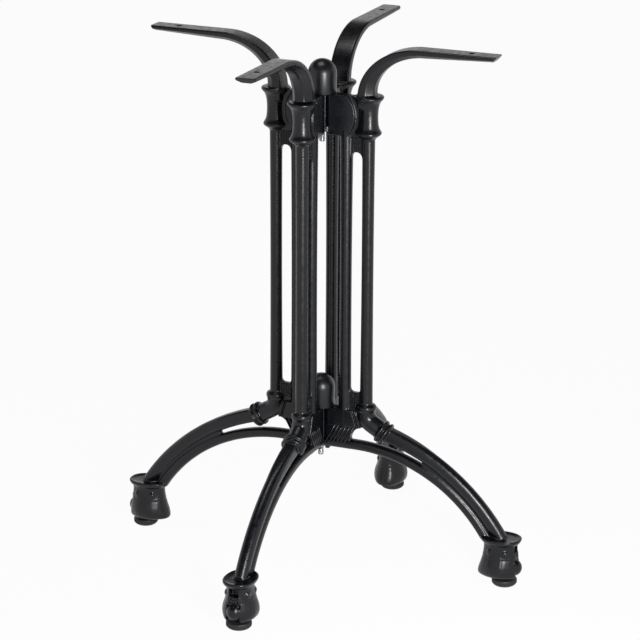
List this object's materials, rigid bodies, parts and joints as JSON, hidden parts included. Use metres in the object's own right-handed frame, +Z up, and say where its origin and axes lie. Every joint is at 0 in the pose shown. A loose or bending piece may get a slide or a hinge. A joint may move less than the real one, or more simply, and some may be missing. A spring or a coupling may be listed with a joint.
{
  "type": "bistro table base",
  "caption": "Cast iron bistro table base: arched split legs on paw feet with levelling pads, twin-rod columns and flat curved arms for the top.",
  "frame": {"origin": "on the floor, under the axis of the two hubs", "axes": "+Z up; +X along the right leg and arm, +Y along the back leg, -Y along the front leg"},
  "size_m": [0.5844, 0.5844, 0.72],
  "materials": {
    "black_iron": "black semi-gloss paint over rough cast iron",
    "zinc_steel": "bare zinc plate",
    "black_plastic": "matt moulded"
  },
  "bodies": {
    "frame": {"leg_casting_right": "black_iron", "leg_casting_back": "black_iron", "leg_casting_left": "black_iron", "leg_casting_front": "black_iron", "dome_caps": "black_iron", "tie_studs": "zinc_steel", "tie_nuts": "zinc_steel"},
    "leveller_right": {"leveller_stud_right": "zinc_steel", "leveller_pad_right": "black_plastic"},
    "leveller_back": {"leveller_stud_back": "zinc_steel", "leveller_pad_back": "black_plastic"},
    "leveller_left": {"leveller_stud_left": "zinc_steel", "leveller_pad_left": "black_plastic"},
    "leveller_front": {"leveller_stud_front": "zinc_steel", "leveller_pad_front": "black_plastic"}
  },
  "joints": [
    {"name": "leveller_screw_right", "type": "slide", "parent": "frame", "child": "leveller_right", "axis": [0, 0, 1], "range_m": [-0.012, 0.0035]},
    {"name": "leveller_screw_back", "type": "slide", "parent": "frame", "child": "leveller_back", "axis": [0, 0, 1], "range_m": [-0.012, 0.0035]},
    {"name": "leveller_screw_left", "type": "slide", "parent": "frame", "child": "leveller_left", "axis": [0, 0, 1], "range_m": [-0.012, 0.0035]},
    {"name": "leveller_screw_front", "type": "slide", "parent": "frame", "child": "leveller_front", "axis": [0, 0, 1], "range_m": [-0.012, 0.0035]}
  ]
}
